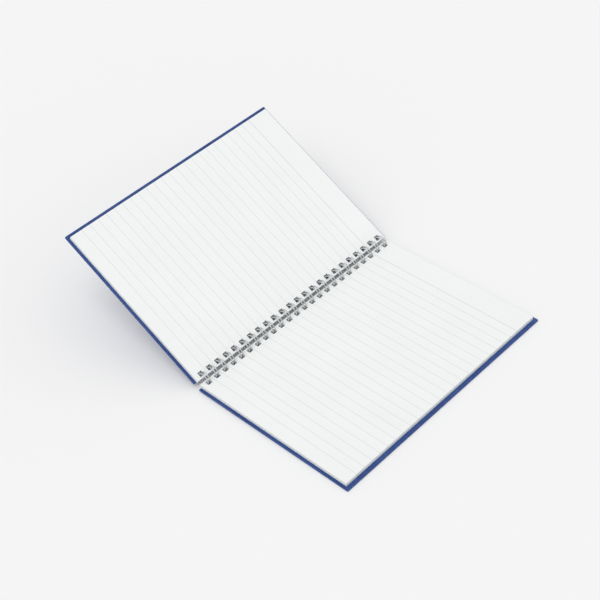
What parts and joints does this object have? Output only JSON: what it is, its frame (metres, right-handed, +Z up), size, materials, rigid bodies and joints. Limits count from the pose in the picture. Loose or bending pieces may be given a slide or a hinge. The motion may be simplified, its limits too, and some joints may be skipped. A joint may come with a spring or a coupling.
{
  "type": "spiral notebook",
  "caption": "Hardcover notebook lying open, its covers and ruled page blocks held by a twin-loop wire along the long side.",
  "frame": {"origin": "on the surface that the notebook lies on, under the middle of its bounding box", "axes": "+X across the binding towards the flat right-hand leaf, +Y along the binding towards the head of the pages, +Z up"},
  "size_m": [0.2852, 0.2146, 0.0834],
  "materials": {
    "cover": "satin",
    "paper": "matte",
    "wire": "satin"
  },
  "bodies": {
    "base": {"back_cover": "cover", "binding_wire": "wire"},
    "left_pages": {"left_pages": "paper"},
    "front_cover": {"front_cover": "cover"},
    "right_pages": {"right_pages": "paper"}
  },
  "joints": [
    {"name": "left_pages_turn", "type": "hinge", "parent": "base", "child": "left_pages", "pos_m": [-0.00991, 0, 0.00618], "axis": [0, 1, 0], "range_deg": [-30.5, 149.5]},
    {"name": "front_cover_turn", "type": "hinge", "parent": "left_pages", "child": "front_cover", "pos_m": [-0.00991, 0, 0.00618], "axis": [0, 1, 0], "range_deg": [-15, 0]},
    {"name": "right_pages_turn", "type": "hinge", "parent": "base", "child": "right_pages", "pos_m": [-0.00991, 0, 0.00618], "axis": [0, -1, 0], "range_deg": [0, 149.5]}
  ]
}
